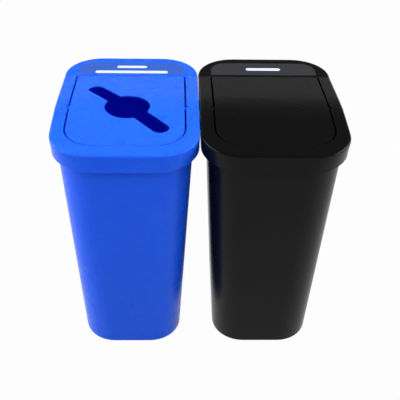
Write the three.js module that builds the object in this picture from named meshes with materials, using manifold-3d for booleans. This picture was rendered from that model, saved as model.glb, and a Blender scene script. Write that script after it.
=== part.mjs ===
// Double recycling bin: two slim moulded tubs clipped side by side, each with a lift-off lid
// that carries a swing panel and a label film.
//
// Frame: millimetres, +X to the right, +Y to the rear, +Z up. The origin is on the floor, midway
// between the two bins and midway between the front and rear of their lids.

import * as THREE from 'three';
import { mergeVertices } from 'three/addons/utils/BufferGeometryUtils.js';
import Module from 'manifold-3d';

const wasm = await Module();
wasm.setup();

// ---------------------------------------------------------------------------
// Driving dimensions
// ---------------------------------------------------------------------------

// Lid, measured over its crest, the rounded edge between roof and skirt
const lidWidth = 287.6;
const lidDepth = 427;
const lidCorner = 79;          // plan radius of the four corners
const lidWall = 2.4;
const lidGap = 1.2;            // free space between the two lids
const lidHeight = 539;         // floor to the crease, the highest line of the lid
const crestRadius = 4.5;

// Roof of the lid: two slopes that meet in a crease over the swing axis, then a rear strip
const creaseY = -38.7;
const frontSlope = 0.5;        // degrees, falling towards the front
const rearSlope = 8.2;         // degrees, falling towards the rear
const stripSlope = 2;          // degrees, the strip behind the panel

// Skirt of the lid
const skirtHeight = 39.5;      // at the front
const skirtLean = 1;           // how far the skirt leans in, from the crest down to the lip
const lipCorner = 88;
const lipHeight = 3.2;
const lipStep = 0.5;           // the lip stands out from the skirt by this much
const lipRound = 0.8;

// Opening for the swing panel, by the borders it leaves
const sideBorder = 25.8;
const frontBorder = 33.4;
const rearBorder = 87.1;
const openFrontCorner = 59;
const openRearCorner = 8.5;

// Swing panel, and the gaps round it
const panelSideGap = 4;
const panelFrontGap = 1.2;
const panelRearGap = 2.6;
const panelWall = 2.8;
const panelFlange = 8;         // depth of the turned-down edge
const flangeWall = 2.4;
const ballastWidth = 8;        // the thick rear edge that lets the panel fall shut
const spineWall = 2.4;         // the rib along the swing axis
const spineDepth = 7;

// Collar round the opening, and the shelf that the rear of the panel rests on
const collarWall = 3;
const collarDepth = 12;
const shelfWall = 2.5;
const shelfReach = 6;

// Swing axis
const axisDepth = 7.5;         // below the crease
const pinRadius = 4.5;
const pinReach = 3.2;          // past the edge of the opening
const hubRadius = 7.2;
const hubLength = 9;
const cradleWall = 3;

// Hole in the recycling panel: a round hole crossed by a slanted slot
const holeRadius = 45;
const holeBack = 1.7;          // from the crease to the middle of the hole
const slotWidth = 32.5;
const slotLength = 237;
const slotAngle = -45;         // degrees from +X

// Label film, let into the rear strip
const labelSideBorder = 28.8;
const labelRearBorder = 23.3;
const labelSetback = 7;        // from the opening
const labelRearCorner = 34;
const labelFrontCorner = 3;
const labelWall = 0.5;

// Tub, measured over its wall
const sideOverhang = 12.7;     // from the lip of the lid in to the tub, at its sides
const endOverhang = 8.1;
const bodyCorner = 74;         // at the lip
const sideTaper = 23.6;        // how far each side leans in, from the lip to the floor
const endTaper = 33.9;
const baseCorner = 68;
const tubWall = 3;
const rimCover = 9.5;          // how far the skirt reaches down past the rim
const beadHeight = 8;
const beadStep = 2.6;
const beadRound = 1.4;
const baseRound = 4;
const innerRound = 3;
const floorHeight = 6.5;       // top of the tub's floor
const footWidth = 14;
const footHeight = 3;

// Ribs inside the lid: they seat on the rim and drop inside the tub
const ribWall = 2.4;
const finDrop = 9;
const finClearance = 1;
const finReach = 8;
const sideRibShares = [-0.45, -0.22, 0.06, 0.22];
const endRibShares = [-0.42, 0, 0.42];

// Clips that join the two tubs under the lids
const clipPlaces = { front: -38, rear: 38 };
const clipLength = 30;
const clipWall = 2;
const clipWebDrop = 2;         // below the lips
const clipWebWall = 3;
const clipLegDrop = 9;
const clipBarb = 2;
const clipBarbWall = 3;

// Clearances
const restGap = 0.3;           // between pieces that rest on each other
const pinGap = 0.4;
const pinEndGap = 0.4;
const labelEdgeGap = 0.4;

// Facets
const cornerSteps = 10;        // in a quarter of a tub's or lid's corner
const roundSteps = 3;          // in an edge of the tub
const crestSteps = 4;
const planSteps = 4;           // half the steps in an arc of a plan shape
const holeSteps = 16;
const pinSteps = 20;
const margin = 40;             // how far a cutting shape runs past what it cuts

// ---------------------------------------------------------------------------
// Places worked out from them
// ---------------------------------------------------------------------------

const radians = THREE.MathUtils.degToRad;
const halfWidth = lidWidth / 2;
const halfDepth = lidDepth / 2;
const spacing = lidWidth + lidGap;
const openHalf = halfWidth - sideBorder;
const openFront = -halfDepth + frontBorder;
const openRear = halfDepth - rearBorder;

// Height of the lid's roof over a point y, without the rounding at its edge
function roofHeight(y) {
  const rear = Math.max(0, Math.min(y, openRear) - creaseY) * Math.tan(radians(rearSlope));
  const strip = Math.max(0, y - openRear) * Math.tan(radians(stripSlope));
  const front = Math.max(0, creaseY - y) * Math.tan(radians(frontSlope));
  return lidHeight - front - rear - strip;
}

const lipZ = roofHeight(-halfDepth) - skirtHeight;
const rimZ = lipZ + rimCover;
const bodyHalfWidth = halfWidth - skirtLean - sideOverhang;
const bodyHalfDepth = halfDepth - skirtLean - endOverhang;
const axisZ = lidHeight - axisDepth;
const sideStraight = lidDepth - 2 * lidCorner;
const endStraight = lidWidth - 2 * lidCorner;

// ---------------------------------------------------------------------------
// Shapes and solids
// ---------------------------------------------------------------------------

function solidOf(geometry) {
  const bare = geometry.clone();
  bare.deleteAttribute('normal');
  bare.deleteAttribute('uv');
  const merged = mergeVertices(bare, 1e-4);
  return new wasm.Manifold(new wasm.Mesh({
    numProp: 3,
    vertProperties: new Float32Array(merged.attributes.position.array),
    triVerts: new Uint32Array(merged.index.array),
  }));
}

function geometryOf(solid) {
  const mesh = solid.getMesh();
  const geometry = new THREE.BufferGeometry();
  geometry.setAttribute('position', new THREE.BufferAttribute(mesh.vertProperties, 3));
  geometry.setIndex(new THREE.BufferAttribute(mesh.triVerts, 1));
  geometry.computeVertexNormals();
  return geometry;
}

function joined(solids) {
  return solids.reduce((sum, solid) => sum.add(solid));
}

// A plan outline with round corners, as a shape
function plan(halfWidth, front, rear, frontCorner, rearCorner) {
  const shape = new THREE.Shape();
  shape.absarc(-halfWidth + frontCorner, front + frontCorner, frontCorner, Math.PI, 1.5 * Math.PI);
  shape.absarc(halfWidth - frontCorner, front + frontCorner, frontCorner, 1.5 * Math.PI, 2 * Math.PI);
  shape.absarc(halfWidth - rearCorner, rear - rearCorner, rearCorner, 0, 0.5 * Math.PI);
  shape.absarc(-halfWidth + rearCorner, rear - rearCorner, rearCorner, 0.5 * Math.PI, Math.PI);
  shape.closePath();
  return shape;
}

// A plan shape raised from one height to another
function prism(shape, bottom, top, steps) {
  const geometry = new THREE.ExtrudeGeometry(shape, {
    depth: top - bottom, curveSegments: steps, bevelEnabled: false,
  });
  return solidOf(geometry.translate(0, 0, bottom));
}

// A plan shape that cuts right through the lid's roof
function throughRoof(shape, steps = planSteps) {
  return prism(shape, lipZ - margin, lidHeight + margin, steps);
}

function box(x0, x1, y0, y1, z0, z1) {
  const geometry = new THREE.BoxGeometry(x1 - x0, y1 - y0, z1 - z0);
  return solidOf(geometry.translate((x0 + x1) / 2, (y0 + y1) / 2, (z0 + z1) / 2));
}

// A round bar along X
function barAlongX(radius, x0, x1, y, z) {
  const geometry = new THREE.CylinderGeometry(radius, radius, x1 - x0, pinSteps);
  return solidOf(geometry.rotateZ(Math.PI / 2).translate((x0 + x1) / 2, y, z));
}

// The layer between two depths under the roof, as wide as the lid and more
function roofLayer(top, bottom) {
  const stations = [-halfDepth - margin, creaseY, openRear, halfDepth + margin];
  const upper = stations.map((y) => new THREE.Vector2(y, roofHeight(y) - top));
  const lower = stations.map((y) => new THREE.Vector2(y, roofHeight(y) - bottom)).reverse();
  const geometry = new THREE.ExtrudeGeometry(new THREE.Shape([...lower, ...upper].reverse()), {
    depth: lidWidth + 2 * margin, bevelEnabled: false,
  });
  geometry.translate(0, 0, -halfWidth - margin);
  const alongX = new THREE.Matrix4().makeBasis(
    new THREE.Vector3(0, 1, 0), new THREE.Vector3(0, 0, 1), new THREE.Vector3(1, 0, 0));
  return solidOf(geometry.applyMatrix4(alongX));
}

// One ring of a loft: a rounded rectangle let out by a growth, with extra points on its long
// sides at the stations, and each point's height from a function of its place
function ring(halfX, halfY, corner, growth, heightAt, stations = []) {
  const points = [];
  const x = halfX - corner;
  const y = halfY - corner;
  const centres = [[x, -y, -0.5], [x, y, 0], [-x, y, 0.5], [-x, -y, 1]];
  centres.forEach(([cx, cy, quarter], index) => {
    for (let step = 0; step <= cornerSteps; step += 1) {
      const angle = (quarter + 0.5 * step / cornerSteps) * Math.PI;
      points.push([
        cx + (corner + growth) * Math.cos(angle),
        cy + (corner + growth) * Math.sin(angle),
      ]);
    }
    if (index === 0) stations.forEach((s) => points.push([halfX + growth, s]));
    if (index === 2) stations.toReversed().forEach((s) => points.push([-halfX - growth, s]));
  });
  return points.map(([px, py]) => new THREE.Vector3(px, py, heightAt(py)));
}

// A closed solid through a stack of rings, capped by a fan from a point over each end
function loft(rings, bottomPeak, topPeak) {
  const count = rings[0].length;
  const points = [...rings.flat(), bottomPeak, topPeak];
  const bottomIndex = points.length - 2;
  const topIndex = points.length - 1;
  const last = (rings.length - 1) * count;
  const faces = [];
  for (let i = 0; i < count; i += 1) {
    const j = (i + 1) % count;
    faces.push(bottomIndex, j, i);
    for (let row = 0; row < last; row += count) {
      faces.push(row + i, row + j, row + count + j, row + i, row + count + j, row + count + i);
    }
    faces.push(topIndex, last + i, last + j);
  }
  const geometry = new THREE.BufferGeometry().setFromPoints(points);
  geometry.setIndex(faces);
  return solidOf(geometry);
}

// ---------------------------------------------------------------------------
// Tub
// ---------------------------------------------------------------------------

// The tub's outline at a height, let out by a growth, as a ring of a loft
function tubRing(z, growth) {
  const lean = 1 - z / lipZ;
  return ring(
    bodyHalfWidth - sideTaper * lean,
    bodyHalfDepth - endTaper * lean,
    THREE.MathUtils.lerp(bodyCorner, baseCorner, lean),
    growth,
    () => z,
  );
}

// The space that the tub's outline sweeps from a height up past its rim
function tubFill(bottom, growth) {
  const top = rimZ + tubWall;
  return loft([tubRing(bottom, growth), tubRing(top, growth)],
    new THREE.Vector3(0, 0, bottom), new THREE.Vector3(0, 0, top));
}

// Rings that round an edge from a flat end into a wall
function roundedRings(radius, endZ, direction, growth) {
  const rings = [];
  for (let step = 0; step <= roundSteps; step += 1) {
    const angle = 0.5 * Math.PI * step / roundSteps;
    const z = endZ + direction * radius * (1 - Math.cos(angle));
    rings.push(tubRing(z, growth - radius * (1 - Math.sin(angle))));
  }
  return direction > 0 ? rings : rings.reverse();
}

function makeTub() {
  const beadBottom = rimZ - beadHeight;
  const outside = loft(
    [
      ...roundedRings(baseRound, 0, 1, 0),
      tubRing(beadBottom, 0),
      tubRing(beadBottom + beadStep, beadStep),
      ...roundedRings(beadRound, rimZ, -1, beadStep),
    ],
    new THREE.Vector3(0, 0, 0),
    new THREE.Vector3(0, 0, rimZ),
  );
  const inside = loft(
    [...roundedRings(innerRound, floorHeight, 1, -tubWall), tubRing(rimZ + 1, -tubWall)],
    new THREE.Vector3(0, 0, floorHeight),
    new THREE.Vector3(0, 0, rimZ + 1),
  );
  const footRecess = loft(
    [tubRing(-1, -footWidth), tubRing(footHeight, -footWidth - 1)],
    new THREE.Vector3(0, 0, -1),
    new THREE.Vector3(0, 0, footHeight),
  );
  return geometryOf(outside.subtract(inside).subtract(footRecess));
}

// ---------------------------------------------------------------------------
// Lid frame
// ---------------------------------------------------------------------------

// A ring of the skirt, at its lip or at its crest
function lipRing(growth, z) {
  return ring(halfWidth - skirtLean, halfDepth - skirtLean, lipCorner, growth, () => z,
    [creaseY, openRear]);
}

function crestRing(growth, heightAt) {
  return ring(halfWidth, halfDepth, lidCorner, growth, heightAt, [creaseY, openRear]);
}

// The skirt, drawn in by a wall and closed over the roof by its rounded crest
function skirtLoft(wall) {
  const rings = wall > 0 ? [lipRing(-wall, lipZ - 1)] : [
    lipRing(lipStep - lipRound, lipZ),
    lipRing(lipStep, lipZ + lipRound),
    lipRing(lipStep, lipZ + lipHeight - lipRound),
    lipRing(lipStep / 2, lipZ + lipHeight),
  ];
  const radius = crestRadius - wall;
  const arcPoint = (step) => {
    const angle = 0.5 * Math.PI * step / crestSteps;
    return [wall + radius * (1 - Math.cos(angle)), wall + radius * (1 - Math.sin(angle))];
  };
  for (let step = 0; step < crestSteps; step += 1) {
    const [inset, drop] = arcPoint(step);
    rings.push(crestRing(-inset, (y) => roofHeight(y) - drop));
  }
  // The last facet of the crest carries on through the roof, which cuts it off
  const [lastInset, lastDrop] = arcPoint(crestSteps - 1);
  const [endInset, endDrop] = arcPoint(crestSteps);
  rings.push(crestRing(lastInset - 2 * endInset, (y) => roofHeight(y) - 2 * endDrop + lastDrop));
  return loft(rings, new THREE.Vector3(0, 0, rings[0][0].z),
    new THREE.Vector3(0, creaseY, lidHeight + margin));
}

// Ribs that hang from the roof between collar and skirt, seat on the rim and drop inside the tub
function makeRibs() {
  const half = ribWall / 2;
  const bars = [];
  for (const share of sideRibShares) {
    const y = share * sideStraight;
    bars.push([-halfWidth, -openHalf, y - half, y + half]);
    bars.push([openHalf, halfWidth, y - half, y + half]);
  }
  for (const share of endRibShares) {
    const x = share * endStraight;
    bars.push([x - half, x + half, -halfDepth, openFront]);
    bars.push([x - half, x + half, openRear, halfDepth]);
  }
  const seat = rimZ + restGap;
  const finBottom = rimZ - finDrop;
  const webs = joined(bars.map((bar) => box(...bar, seat, lidHeight)));
  const fins = joined(bars.map((bar) => box(...bar, finBottom, seat + ribWall / 2)));
  const finZone = tubFill(finBottom - 1, -tubWall - finClearance)
    .subtract(tubFill(finBottom - 2, -tubWall - finClearance - finReach));
  return webs.add(fins.intersect(finZone));
}

// The opening for the swing panel, let out by a growth
function openingPlan(growth) {
  return throughRoof(plan(openHalf + growth, openFront - growth, openRear + growth,
    openFrontCorner + growth, openRearCorner + growth));
}

function makeLidFrame() {
  const outside = skirtLoft(0).intersect(roofLayer(0, lidHeight + margin));
  const inside = skirtLoft(lidWall).intersect(roofLayer(lidWall, lidHeight + margin));
  const collar = openingPlan(collarWall).intersect(roofLayer(0, collarDepth));
  const ribs = makeRibs().intersect(skirtLoft(lidWall / 2))
    .intersect(roofLayer(lidWall / 2, lidHeight + margin));
  let frame = outside.subtract(inside).add(collar).add(ribs).subtract(openingPlan(0));

  const shelf = openingPlan(collarWall / 2)
    .intersect(box(-halfWidth, halfWidth, openRear - shelfReach, halfDepth, lipZ, lidHeight))
    .intersect(roofLayer(panelFlange + restGap, panelFlange + restGap + shelfWall));
  frame = frame.add(shelf);

  const slotHalf = pinRadius + pinGap;
  const slotEnd = openHalf + pinReach + pinEndGap;
  for (const side of [-1, 1]) {
    const span = (x0, x1) => (side > 0 ? [x0, x1] : [-x1, -x0]);
    const [blockStart, blockEnd] = span(openHalf, slotEnd + cradleWall);
    const cradle = box(blockStart, blockEnd, creaseY - slotHalf - cradleWall,
      creaseY + slotHalf + cradleWall, axisZ - slotHalf - cradleWall, lidHeight - lidWall / 2);
    const [slotStart, slotStop] = span(openHalf - 1, slotEnd);
    const slot = barAlongX(slotHalf, slotStart, slotStop, creaseY, axisZ)
      .add(box(slotStart, slotStop, creaseY - slotHalf, creaseY + slotHalf, axisZ, lidHeight + 1));
    frame = frame.add(cradle).subtract(slot);
  }

  const recess = throughRoof(labelPlan(labelEdgeGap))
    .intersect(roofLayer(-1, labelWall + restGap));
  return geometryOf(frame.subtract(recess));
}

// ---------------------------------------------------------------------------
// Label film
// ---------------------------------------------------------------------------

function labelPlan(growth) {
  return plan(halfWidth - labelSideBorder + growth, openRear + labelSetback - growth,
    halfDepth - labelRearBorder + growth, labelFrontCorner + growth, labelRearCorner + growth);
}

function makeLabelFilm() {
  return geometryOf(throughRoof(labelPlan(0)).intersect(roofLayer(0, labelWall)));
}

// ---------------------------------------------------------------------------
// Swing panels
// ---------------------------------------------------------------------------

// The slanted slot and the round hole that it crosses
function makeHole() {
  const middle = creaseY + holeBack;
  const round = new THREE.Shape();
  round.absarc(0, middle, holeRadius, 0, 2 * Math.PI);
  const slot = new THREE.Shape();
  const reach = (slotLength - slotWidth) / 2;
  const slant = radians(slotAngle);
  const end = new THREE.Vector2(reach * Math.cos(slant), reach * Math.sin(slant));
  slot.absarc(end.x, middle + end.y, slotWidth / 2, slant - Math.PI / 2, slant + Math.PI / 2);
  slot.absarc(-end.x, middle - end.y, slotWidth / 2, slant + Math.PI / 2, slant + 1.5 * Math.PI);
  slot.closePath();
  return throughRoof(round, holeSteps).add(throughRoof(slot));
}

// The panel's plan, drawn in by a wall, with its own width at the rear edge
function panelPlan(wall, rearWall) {
  return throughRoof(plan(openHalf - panelSideGap - wall, openFront + panelFrontGap + wall,
    openRear - panelRearGap - rearWall, openFrontCorner - panelFrontGap - wall,
    openRearCorner - panelRearGap - wall));
}

function makePanel(hasHole) {
  const half = openHalf - panelSideGap;
  const outline = panelPlan(0, 0);
  const spine = box(-half + flangeWall / 2, half - flangeWall / 2,
    creaseY - spineWall / 2, creaseY + spineWall / 2, lipZ, lidHeight);
  const hollow = panelPlan(flangeWall, ballastWidth)
    .intersect(roofLayer(panelWall, panelFlange + margin));
  let panel = outline.intersect(roofLayer(0, panelFlange)).subtract(hollow)
    .add(spine.intersect(roofLayer(panelWall / 2, spineDepth)));
  const hub = barAlongX(hubRadius, half - hubLength, half - flangeWall / 2, creaseY, axisZ);
  const pin = barAlongX(pinRadius, half - hubLength / 2, openHalf + pinReach, creaseY, axisZ);
  const pivot = hub.add(pin);
  panel = panel.add(pivot).add(pivot.mirror([1, 0, 0]));
  return geometryOf(hasHole ? panel.subtract(makeHole()) : panel);
}

// ---------------------------------------------------------------------------
// Clip between the tubs
// ---------------------------------------------------------------------------

// Half of the clip, from the web's middle up outside one bead, over the rim and down inside
function clipHalfOutline() {
  const lean = sideTaper / lipZ;
  const wallX = spacing / 2 - bodyHalfWidth - lean * rimCover;
  const armOut = wallX - beadStep - restGap;
  const armIn = armOut - clipWall;
  const legIn = wallX + tubWall + lean * clipLegDrop + restGap;
  const legOut = legIn + clipWall;
  const webTop = lipZ - clipWebDrop;
  const webBottom = webTop - clipWebWall;
  const barbTop = rimZ - beadHeight - restGap;
  const barbBottom = barbTop - clipBarbWall;
  const hookBottom = rimZ + restGap;
  const hookTop = hookBottom + clipWall;
  const legBottom = rimZ - clipLegDrop;
  return [
    [armIn, webTop], [armIn, hookTop], [legOut, hookTop], [legOut, legBottom],
    [legIn, legBottom], [legIn, hookBottom], [armOut, hookBottom], [armOut, barbTop],
    [armOut + clipBarb, barbTop], [armOut, barbBottom], [armOut, webBottom],
  ];
}

function makeClip() {
  const half = clipHalfOutline();
  const mirrored = half.map(([x, z]) => [-x, z]).reverse();
  const outline = [...half, ...mirrored].map(([x, z]) => new THREE.Vector2(x, z));
  const geometry = new THREE.ExtrudeGeometry(new THREE.Shape(outline), {
    depth: clipLength, bevelEnabled: false,
  });
  geometry.translate(0, 0, -clipLength / 2);
  return geometryOf(solidOf(geometry.rotateX(Math.PI / 2)));
}

// ---------------------------------------------------------------------------
// Materials and assembly
// ---------------------------------------------------------------------------

function plastic(name, color, roughness) {
  return new THREE.MeshStandardMaterial({ name, color, roughness, metalness: 0 });
}

const bluePolypropylene = plastic('blue polypropylene', 0x2360ee, 0.38);
const blackPolypropylene = plastic('black polypropylene', 0x1b1b1d, 0.4);
const blueLabel = plastic('blue printed film', 0x6485da, 0.35);
const blackLabel = plastic('black printed film', 0x46474b, 0.35);

function named(name, geometry, material) {
  const mesh = new THREE.Mesh(geometry, material);
  mesh.name = name;
  return mesh;
}

const tub = makeTub();
const lidFrame = makeLidFrame();
const labelFilm = makeLabelFilm();
const clip = makeClip();

function makeBin(stream, x, shell, label, panel) {
  const bin = new THREE.Group();
  bin.position.x = x;
  bin.add(
    named(`tub_${stream}`, tub, shell),
    named(`lid_frame_${stream}`, lidFrame, shell),
    named(`swing_panel_${stream}`, panel, shell),
    named(`label_film_${stream}`, labelFilm, label),
  );
  return bin;
}

const doubleBin = new THREE.Group();
doubleBin.name = 'double_recycling_bin';
doubleBin.add(
  makeBin('recycling', -spacing / 2, bluePolypropylene, blueLabel, makePanel(true)),
  makeBin('waste', spacing / 2, blackPolypropylene, blackLabel, makePanel(false)),
);
for (const [name, y] of Object.entries(clipPlaces)) {
  const piece = named(`joining_clip_${name}`, clip, blackPolypropylene);
  piece.position.y = y;
  doubleBin.add(piece);
}

export default doubleBin;
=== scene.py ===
"""Double recycling bin: the looks of two slim moulded bins with swing-panel lids.

Everything is in metres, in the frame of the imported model: +X to the right, +Y to the rear,
+Z up, with the origin on the floor midway between the two bins.
"""

import math

import bpy
import bmesh
from mathutils import Matrix, Vector


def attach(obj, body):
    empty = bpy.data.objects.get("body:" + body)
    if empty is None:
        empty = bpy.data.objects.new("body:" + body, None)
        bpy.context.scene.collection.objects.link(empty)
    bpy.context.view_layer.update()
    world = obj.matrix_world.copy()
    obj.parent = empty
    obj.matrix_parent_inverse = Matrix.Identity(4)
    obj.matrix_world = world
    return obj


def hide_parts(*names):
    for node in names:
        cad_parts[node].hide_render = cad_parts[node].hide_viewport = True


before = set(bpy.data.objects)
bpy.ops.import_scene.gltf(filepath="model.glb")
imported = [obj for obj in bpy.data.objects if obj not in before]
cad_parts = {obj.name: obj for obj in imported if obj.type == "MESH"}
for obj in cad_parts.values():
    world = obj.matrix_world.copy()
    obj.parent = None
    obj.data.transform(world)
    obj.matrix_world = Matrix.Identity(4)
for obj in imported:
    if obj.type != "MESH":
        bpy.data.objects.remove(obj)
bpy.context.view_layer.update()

MM = 0.001
MERGE = 0.02 * MM              # corners nearer than this are one
FLAT = math.radians(0.4)       # faces that turn by less than this are one

COLOUR = {"recycling": "blue", "waste": "black"}
BIN_X = {"recycling": -144.4 * MM, "waste": 144.4 * MM}


def mesh_object(name, bm):
    mesh = bpy.data.meshes.new(name)
    bm.to_mesh(mesh)
    bm.free()
    item = bpy.data.objects.new(name, mesh)
    bpy.context.scene.collection.objects.link(item)
    return item


# ---------------------------------------------------------------------------
# Camera: the photograph's viewpoint
# ---------------------------------------------------------------------------

CAMERA_PLACE = Vector((-0.0448, -1.4451, 1.3853))
CAMERA_PITCH = math.radians(37.58)
CAMERA_YAW = math.radians(2.04)
CAMERA_ROLL = math.radians(1.41)
FOCAL_PIXELS = 817.0
IMAGE_PIXELS = 400
SENSOR = 36.0


def make_camera():
    data = bpy.data.cameras.new("camera")
    data.sensor_width = SENSOR
    data.lens = SENSOR * FOCAL_PIXELS / IMAGE_PIXELS
    data.clip_start = 0.01
    data.clip_end = 50.0
    camera = bpy.data.objects.new("camera", data)
    bpy.context.scene.collection.objects.link(camera)
    forward = Vector((
        math.sin(CAMERA_YAW) * math.cos(CAMERA_PITCH),
        math.cos(CAMERA_YAW) * math.cos(CAMERA_PITCH),
        -math.sin(CAMERA_PITCH),
    ))
    right = Vector((math.cos(CAMERA_YAW), -math.sin(CAMERA_YAW), 0.0))
    up = right.cross(forward)
    rolled_right = math.cos(CAMERA_ROLL) * right + math.sin(CAMERA_ROLL) * up
    rolled_up = math.cos(CAMERA_ROLL) * up - math.sin(CAMERA_ROLL) * right
    turn = Matrix((rolled_right, rolled_up, -forward)).transposed()
    camera.matrix_world = Matrix.Translation(CAMERA_PLACE) @ turn.to_4x4()
    bpy.context.scene.camera = camera


# ---------------------------------------------------------------------------
# Materials
# ---------------------------------------------------------------------------

# Sockets of a colour mix node: its two colours, and what they make
FIRST, SECOND, MIXED = 6, 7, 2

EDGE_ROUNDING = 1 * MM
GLOSS_SPREAD = 0.02            # how far wiped patches move the roughness
GLOW_DEPTH = 12 * MM
GLOW_SHARES = (0.01, 0.06, 1.0)    # red, green and blue light go this share of the depth


def linear(hex_colour):
    """An sRGB hex colour as linear RGBA."""
    channels = [int(hex_colour[i:i + 2], 16) / 255 for i in (1, 3, 5)]
    return [c / 12.92 if c <= 0.04045 else ((c + 0.055) / 1.055) ** 2.4 for c in channels] + [1.0]


def add(tree, kind, links=None, **settings):
    """Adds a node: settings are its properties or, where it has no such property, its inputs."""
    node = tree.nodes.new(kind)
    for name, value in settings.items():
        if hasattr(node, name):
            setattr(node, name, value)
        else:
            node.inputs[name.replace("_", " ")].default_value = value
    for socket, source in (links or {}).items():
        tree.links.new(source, node.inputs[socket])
    return node


def new_material(name):
    material = bpy.data.materials.new(name)
    material.use_nodes = True
    material.node_tree.nodes.clear()
    return material, material.node_tree


def moulded_polypropylene(name, colour, streak, worn, roughness, glow=0.0):
    """Injection-moulded polypropylene from a spark-eroded tool.

    The colour runs right through, so it is even, with only faint flow streaks. The tool leaves
    a fine pebble that breaks up the waxy gloss, handling pales the edges a little,
    and a thin wall lets some light through.
    """
    material, tree = new_material(name)
    place = add(tree, "ShaderNodeTexCoord").outputs["Object"]

    # Flow streaks, about 60 mm across and drawn out along the height of the wall
    drawn = add(tree, "ShaderNodeMapping", {"Vector": place}, Scale=(1.0, 1.0, 0.25))
    flow = add(tree, "ShaderNodeTexNoise", {"Vector": drawn.outputs[0]}, Scale=1 / (60 * MM),
               Detail=1.0, Roughness=0.55)
    tint = add(tree, "ShaderNodeMix", {"Factor": flow.outputs["Fac"]}, data_type="RGBA")
    tint.inputs[FIRST].default_value = linear(colour)
    tint.inputs[SECOND].default_value = linear(streak)

    # Edges, where the normal of a small rounding leaves the flat one, paled in 14 mm patches
    rounded = add(tree, "ShaderNodeBevel", samples=8, Radius=EDGE_ROUNDING)
    flat = add(tree, "ShaderNodeNewGeometry").outputs["Normal"]
    turn = add(tree, "ShaderNodeVectorMath", {0: rounded.outputs[0], 1: flat},
               operation="DOT_PRODUCT")
    edge = add(tree, "ShaderNodeMapRange", {"Value": turn.outputs["Value"]}, From_Min=0.995,
               From_Max=0.80, To_Min=0.0, To_Max=1.0)
    scuff = add(tree, "ShaderNodeTexNoise", {"Vector": place}, Scale=1 / (14 * MM), Detail=4.0)
    worn_edge = add(tree, "ShaderNodeMath", {0: edge.outputs[0], 1: scuff.outputs["Fac"]},
                    operation="MULTIPLY")
    shown = add(tree, "ShaderNodeMix",
                {"Factor": worn_edge.outputs[0], FIRST: tint.outputs[MIXED]}, data_type="RGBA")
    shown.inputs[SECOND].default_value = linear(worn)

    # Wiped patches, about 40 mm across, a little glossier or duller than the rest
    wiped = add(tree, "ShaderNodeTexNoise", {"Vector": place}, Scale=1 / (40 * MM), Detail=1.0)
    gloss = add(tree, "ShaderNodeMapRange", {"Value": wiped.outputs["Fac"]}, From_Min=0.3,
                From_Max=0.7, To_Min=roughness - GLOSS_SPREAD, To_Max=roughness + GLOSS_SPREAD)

    # The pebble is about 0.3 mm across and is drawn at 1.2 mm, the finest that shows
    pebble = add(tree, "ShaderNodeTexNoise", {"Vector": place}, Scale=1 / (1.2 * MM), Detail=2.0)
    bump = add(tree, "ShaderNodeBump", {"Height": pebble.outputs["Fac"]}, Strength=0.10,
               Distance=0.1 * MM)

    shader = add(tree, "ShaderNodeBsdfPrincipled",
                 {"Base Color": shown.outputs[MIXED], "Roughness": gloss.outputs[0],
                  "Normal": bump.outputs["Normal"]},
                 IOR=1.49, Specular_IOR_Level=0.105)
    if glow:
        shader.inputs["Subsurface Weight"].default_value = glow
        shader.inputs["Subsurface Radius"].default_value = GLOW_SHARES
        shader.inputs["Subsurface Scale"].default_value = GLOW_DEPTH
    add(tree, "ShaderNodeOutputMaterial", {"Surface": shader.outputs["BSDF"]})
    return material


def printed_film(name, colour, speck, roughness):
    """Self-adhesive vinyl, screen printed and laid under a satin overlaminate.

    The ink is even with a fine speckle, and the film shows the faint orange peel of the
    adhesive under it.
    """
    material, tree = new_material(name)
    place = add(tree, "ShaderNodeTexCoord").outputs["Object"]
    speckle = add(tree, "ShaderNodeTexNoise", {"Vector": place}, Scale=1 / (1.0 * MM),
                  Detail=2.0)
    ink = add(tree, "ShaderNodeMix", {"Factor": speckle.outputs["Fac"]}, data_type="RGBA")
    ink.inputs[FIRST].default_value = linear(colour)
    ink.inputs[SECOND].default_value = linear(speck)
    peel = add(tree, "ShaderNodeTexNoise", {"Vector": place}, Scale=1 / (4 * MM), Detail=1.0)
    bump = add(tree, "ShaderNodeBump", {"Height": peel.outputs["Fac"]}, Strength=0.15,
               Distance=0.1 * MM)
    shader = add(tree, "ShaderNodeBsdfPrincipled",
                 {"Base Color": ink.outputs[MIXED], "Normal": bump.outputs["Normal"]},
                 Roughness=roughness, IOR=1.5, Specular_IOR_Level=0.25)
    add(tree, "ShaderNodeOutputMaterial", {"Surface": shader.outputs["BSDF"]})
    return material


# ---------------------------------------------------------------------------
# Floor, world and lamps
# ---------------------------------------------------------------------------

FLOOR_REACH = 6.0
FLOOR_DROP = 0.5 * MM          # keeps the floor clear of the feet
FLOOR_WHITE = 0.975            # the rest of the floor's look is paper, with its shadows
STUDIO_LIGHT = 0.8

# What a gloss sees of the backdrop, by the sine of the height it looks up at
BACKDROP_FADE = (
    (0.05, (1, 1, 1, 1)),
    (0.20, (0.12, 0.12, 0.12, 1)),
    (0.38, (0.06, 0.06, 0.062, 1)),
    (0.62, (0.03, 0.03, 0.032, 1)),
)


def backdrop_share(tree, share):
    """The rays that see the white backdrop: the camera's, and those a gloss or glass sends."""
    path = add(tree, "ShaderNodeLightPath")
    seen = add(tree, "ShaderNodeMath",
               {0: path.outputs["Is Camera Ray"], 1: path.outputs["Is Glossy Ray"]},
               operation="MAXIMUM")
    seen = add(tree, "ShaderNodeMath",
               {0: seen.outputs[0], 1: path.outputs["Is Transmission Ray"]},
               operation="MAXIMUM")
    seen = add(tree, "ShaderNodeMath", {0: seen.outputs[0]}, operation="MULTIPLY")
    seen.inputs[1].default_value = share
    return seen.outputs[0]


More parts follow.
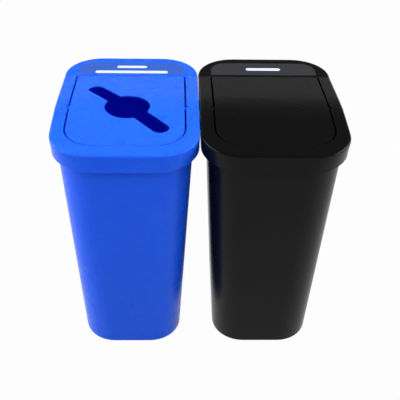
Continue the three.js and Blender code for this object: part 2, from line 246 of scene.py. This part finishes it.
def make_floor():
    bm = bmesh.new()
    bmesh.ops.create_grid(bm, x_segments=1, y_segments=1, size=FLOOR_REACH)
    floor = mesh_object("floor", bm)
    floor.location.z = -FLOOR_DROP
    material, tree = new_material("white studio paper")
    paper = add(tree, "ShaderNodeBsdfDiffuse", Color=linear("#888888"))
    white = add(tree, "ShaderNodeEmission", Color=(1, 1, 1, 1), Strength=1.0)
    mix = add(tree, "ShaderNodeMixShader",
              {0: backdrop_share(tree, FLOOR_WHITE), 1: paper.outputs[0], 2: white.outputs[0]})
    add(tree, "ShaderNodeOutputMaterial", {"Surface": mix.outputs[0]})
    floor.data.materials.append(material)


def make_world():
    """Even studio light, with a white backdrop that gives way to a dim ceiling."""
    world = bpy.data.worlds.new("studio")
    world.use_nodes = True
    tree = world.node_tree
    tree.nodes.clear()
    direction = add(tree, "ShaderNodeTexCoord").outputs["Generated"]
    height = add(tree, "ShaderNodeSeparateXYZ", {0: direction}).outputs["Z"]
    gloss = add(tree, "ShaderNodeLightPath").outputs["Is Glossy Ray"]
    rise = add(tree, "ShaderNodeMath", {0: height, 1: gloss}, operation="MULTIPLY")
    ramp = add(tree, "ShaderNodeValToRGB", {0: rise.outputs[0]})
    stops = ramp.color_ramp.elements
    stops[0].position, stops[0].color = BACKDROP_FADE[0]
    stops[1].position, stops[1].color = BACKDROP_FADE[-1]
    for position, colour in BACKDROP_FADE[1:-1]:
        stops.new(position).color = colour
    backdrop = add(tree, "ShaderNodeBackground", {0: ramp.outputs[0]}, Strength=1.0)
    light = add(tree, "ShaderNodeBackground", Color=(1, 1, 1, 1), Strength=STUDIO_LIGHT)
    mix = add(tree, "ShaderNodeMixShader",
              {0: backdrop_share(tree, 1.0), 1: light.outputs[0], 2: backdrop.outputs[0]})
    add(tree, "ShaderNodeOutputWorld", {"Surface": mix.outputs[0]})
    bpy.context.scene.world = world


def make_lamp(name, place, aim, size, watts, mirrored=True):
    """An area lamp; mirrored says whether a gloss shows it."""
    data = bpy.data.lights.new(name, "AREA")
    data.shape = "RECTANGLE"
    data.size, data.size_y = size
    data.energy = watts
    lamp = bpy.data.objects.new(name, data)
    lamp.location = place
    lamp.rotation_euler = (Vector(aim) - Vector(place)).to_track_quat("-Z", "Y").to_euler()
    lamp.visible_glossy = mirrored
    bpy.context.scene.collection.objects.link(lamp)


# ---------------------------------------------------------------------------
# Moulded pieces
# ---------------------------------------------------------------------------

CREASE_Y = -38.7 * MM
CREASE_Z = 539 * MM
STRIP_Y = 126.4 * MM           # where the rear slope gives way to the label's strip
FRONT_FALL = math.tan(math.radians(0.5))
REAR_FALL = math.tan(math.radians(8.2))
STRIP_SLOPE = math.radians(2)
STRIP_FALL = math.tan(STRIP_SLOPE)

CREASE_REACH = 52 * MM         # the soft crease runs this far to each side
CREASE_STEP = 4 * MM
STRIP_STEPS = (-12, -4, 4, 12)     # mm from the strip's front, to keep its shading to itself
SKIN = 3.2 * MM                # the roof's wall and a little more

ROUNDED_TURN = math.radians(35)    # edges that turn by more than this get a rounding


def roof_height(y):
    front = max(0, CREASE_Y - y) * FRONT_FALL
    rear = max(0, min(y, STRIP_Y) - CREASE_Y) * REAR_FALL
    return CREASE_Z - front - rear - max(0, y - STRIP_Y) * STRIP_FALL


def soften_crease(bm):
    """Rounds the crease over the pins, where the tool had no sharp edge, along an arc."""
    bmesh.ops.remove_doubles(bm, verts=bm.verts, dist=MERGE)
    bmesh.ops.dissolve_limit(bm, angle_limit=FLAT, verts=bm.verts, edges=bm.edges)
    steps = round(CREASE_REACH / CREASE_STEP)
    cuts = [CREASE_Y + step * CREASE_STEP for step in range(-steps, steps + 1)]
    cuts += [STRIP_Y + step * MM for step in STRIP_STEPS]
    for y in cuts:
        bmesh.ops.bisect_plane(bm, geom=bm.verts[:] + bm.edges[:] + bm.faces[:],
                               dist=0.001 * MM, plane_co=(0, y, 0), plane_no=(0, 1, 0))
    for vertex in bm.verts:
        into = CREASE_REACH - abs(vertex.co.y - CREASE_Y)
        if into > 0 and roof_height(vertex.co.y) - vertex.co.z < SKIN:
            vertex.co.z -= into ** 2 / (4 * CREASE_REACH) * (FRONT_FALL + REAR_FALL)


def finish_edges(piece, material, edge):
    """Rounds a moulded piece's sharp edges and shades its faces evenly."""
    piece.data.materials.clear()
    piece.data.materials.append(material)
    piece.data.polygons.foreach_set("use_smooth", [True] * len(piece.data.polygons))
    bevel = piece.modifiers.new("edge", "BEVEL")
    bevel.width = edge
    bevel.segments = 2
    bevel.limit_method = "ANGLE"
    bevel.angle_limit = ROUNDED_TURN
    bevel.harden_normals = True
    even = piece.modifiers.new("even shading", "WEIGHTED_NORMAL")
    even.keep_sharp = True
    even.weight = 100


def finish_node(name, material, edge):
    """Finishes a node of the frame as it stands."""
    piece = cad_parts[name]
    weld = piece.modifiers.new("weld", "WELD")
    weld.merge_threshold = MERGE
    flat = piece.modifiers.new("flat faces", "DECIMATE")
    flat.decimate_type = "DISSOLVE"
    flat.angle_limit = FLAT
    finish_edges(piece, material, edge)


def new_piece(name, bm, body):
    piece = mesh_object(name, bm)
    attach(piece, body)
    return piece


def crease_piece(name, mesh, node, body, material, edge):
    """A lid frame or swing panel with its soft crease, in the place of its node."""
    bm = bmesh.new()
    bm.from_mesh(mesh)
    soften_crease(bm)
    piece = new_piece(name, bm, body)
    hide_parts(node)
    finish_edges(piece, material, edge)


# ---------------------------------------------------------------------------
# The hole for bottles, cans and paper: a round one crossed by a slanted slot
# ---------------------------------------------------------------------------

HOLE_Y = CREASE_Y + 2.8 * MM
HOLE_RADIUS = 47.7 * MM
HOLE_OVAL = (0.96, 1.05, 1)    # the round hole is a little longer than it is wide
SLOT_LENGTH = 249 * MM
SLOT_WIDTH = 36.4 * MM
SLOT_ANGLE = math.radians(-51)
CUT_BOTTOM, CUT_TOP = 490 * MM, 560 * MM


def round_ended(bm, length, width):
    """A flat face with round ends, lying along X."""
    bmesh.ops.create_grid(bm, x_segments=1, y_segments=1, size=0.5)
    bmesh.ops.scale(bm, vec=(length, width, 1), verts=bm.verts)
    bmesh.ops.bevel(bm, geom=bm.verts[:], offset=width * 0.499, segments=10, profile=0.5,
                    affect="VERTICES", material=-1)


def cutter(bm):
    """Stands a flat face up as a block that cuts through the panel."""
    bmesh.ops.translate(bm, vec=(0, 0, CUT_BOTTOM), verts=bm.verts)
    grown = bmesh.ops.extrude_face_region(bm, geom=bm.faces[:], use_keep_orig=True)["geom"]
    bmesh.ops.translate(bm, vec=(0, 0, CUT_TOP - CUT_BOTTOM),
                        verts=[v for v in grown if isinstance(v, bmesh.types.BMVert)])
    bmesh.ops.translate(bm, vec=(BIN_X["recycling"], HOLE_Y, 0), verts=bm.verts)
    bmesh.ops.recalc_face_normals(bm, faces=bm.faces)
    return mesh_object("cutter", bm)


def pierced_panel_mesh():
    """The plain panel's mesh, moved to the recycling bin and cut through."""
    bm = bmesh.new()
    bm.from_mesh(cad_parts["swing_panel_waste"].data)
    bmesh.ops.remove_doubles(bm, verts=bm.verts, dist=MERGE)
    bmesh.ops.translate(bm, vec=(BIN_X["recycling"] - BIN_X["waste"], 0, 0), verts=bm.verts)
    panel = mesh_object("uncut panel", bm)

    disc = bmesh.new()
    bmesh.ops.create_circle(disc, cap_ends=True, segments=64, radius=HOLE_RADIUS)
    bmesh.ops.scale(disc, vec=HOLE_OVAL, verts=disc.verts)
    slot = bmesh.new()
    round_ended(slot, SLOT_LENGTH, SLOT_WIDTH)
    bmesh.ops.rotate(slot, cent=(0, 0, 0), matrix=Matrix.Rotation(SLOT_ANGLE, 3, "Z"),
                     verts=slot.verts)
    blocks = [cutter(disc), cutter(slot)]
    for block in blocks:
        cut = panel.modifiers.new("cut", "BOOLEAN")
        cut.operation = "DIFFERENCE"
        cut.solver = "EXACT"
        cut.object = block
    bpy.context.view_layer.update()
    cut_through = bpy.data.meshes.new_from_object(
        panel.evaluated_get(bpy.context.evaluated_depsgraph_get()))
    for spare in (panel, *blocks):
        bpy.data.objects.remove(spare)
    return cut_through


# ---------------------------------------------------------------------------
# Printed bars on the labels, where a stream's name goes
# ---------------------------------------------------------------------------

INK = 0.06 * MM
FILM_CLEARANCE = 0.01 * MM


def print_bar(name, stream, y, length, width, ink):
    """A bar of ink with round ends, lying on the film at a height that follows its slope."""
    bm = bmesh.new()
    round_ended(bm, length, width)
    bmesh.ops.solidify(bm, geom=bm.faces[:], thickness=INK)
    bmesh.ops.recalc_face_normals(bm, faces=bm.faces)
    lowest = min(vertex.co.z for vertex in bm.verts)
    bmesh.ops.translate(bm, vec=(0, 0, -lowest), verts=bm.verts)
    bmesh.ops.rotate(bm, cent=(0, 0, 0), matrix=Matrix.Rotation(-STRIP_SLOPE, 3, "X"),
                     verts=bm.verts)
    bmesh.ops.translate(bm, vec=(BIN_X[stream], y, roof_height(y) + FILM_CLEARANCE),
                        verts=bm.verts)
    bar = new_piece(name, bm, f"lid_{stream}")
    bar.data.materials.append(ink)


# ---------------------------------------------------------------------------
# The scene
# ---------------------------------------------------------------------------

make_camera()
make_floor()
make_world()
for side, x in (("left", -2.1), ("right", 2.1)):
    make_lamp(f"{side} softbox", (x, 0.1, 1.33), (0, 0, 0.4), (2.0, 0.9), 46)
make_lamp("overhead softbox", (0.0, -1.1, 2.4), (0, 0, 0.5), (1.0, 0.8), 17, mirrored=False)

shells = {
    "recycling": moulded_polypropylene("moulded polypropylene blue", "#1d5efc", "#1a5bf8",
                                       "#3a76fa", 0.28, glow=0.55),
    "waste": moulded_polypropylene("moulded polypropylene black", "#0a0a0b", "#0d0d0e",
                                   "#262627", 0.28),
}
films = {
    "recycling": printed_film("printed film blue", "#2a52b4", "#2e56b2", 0.4),
    "waste": printed_film("printed film black", "#2c2d30", "#303134", 0.4),
}
for stream, colour in COLOUR.items():
    lid = f"lid_frame_{stream}"
    finish_node(f"tub_{stream}", shells[stream], 0.6 * MM)
    finish_node(f"label_film_{stream}", films[stream], 0.1 * MM)
    crease_piece(f"lid_{stream}_moulding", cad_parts[lid].data, lid, f"lid_{stream}",
                 shells[stream], 0.7 * MM)

panels = {"recycling": pierced_panel_mesh(), "waste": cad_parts["swing_panel_waste"].data}
for stream, colour in COLOUR.items():
    crease_piece(f"panel_{stream}_moulding", panels[stream], f"swing_panel_{stream}",
                 f"panel_{stream}", shells[stream], 0.8 * MM)
for end in ("front", "rear"):
    finish_node(f"joining_clip_{end}", shells["waste"], 0.3 * MM)

white_ink = printed_film("screen printed ink white", "#ccd8f2", "#bfcce8", 0.45)
print_bar("upper_bar_recycling", "recycling", 168.5 * MM, 66 * MM, 11 * MM, white_ink)
print_bar("lower_bar_recycling", "recycling", 144.0 * MM, 158 * MM, 12 * MM, white_ink)
print_bar("bar_waste", "waste", 160.5 * MM, 76 * MM, 12 * MM, white_ink)

bpy.context.scene.view_settings.view_transform = "Standard"
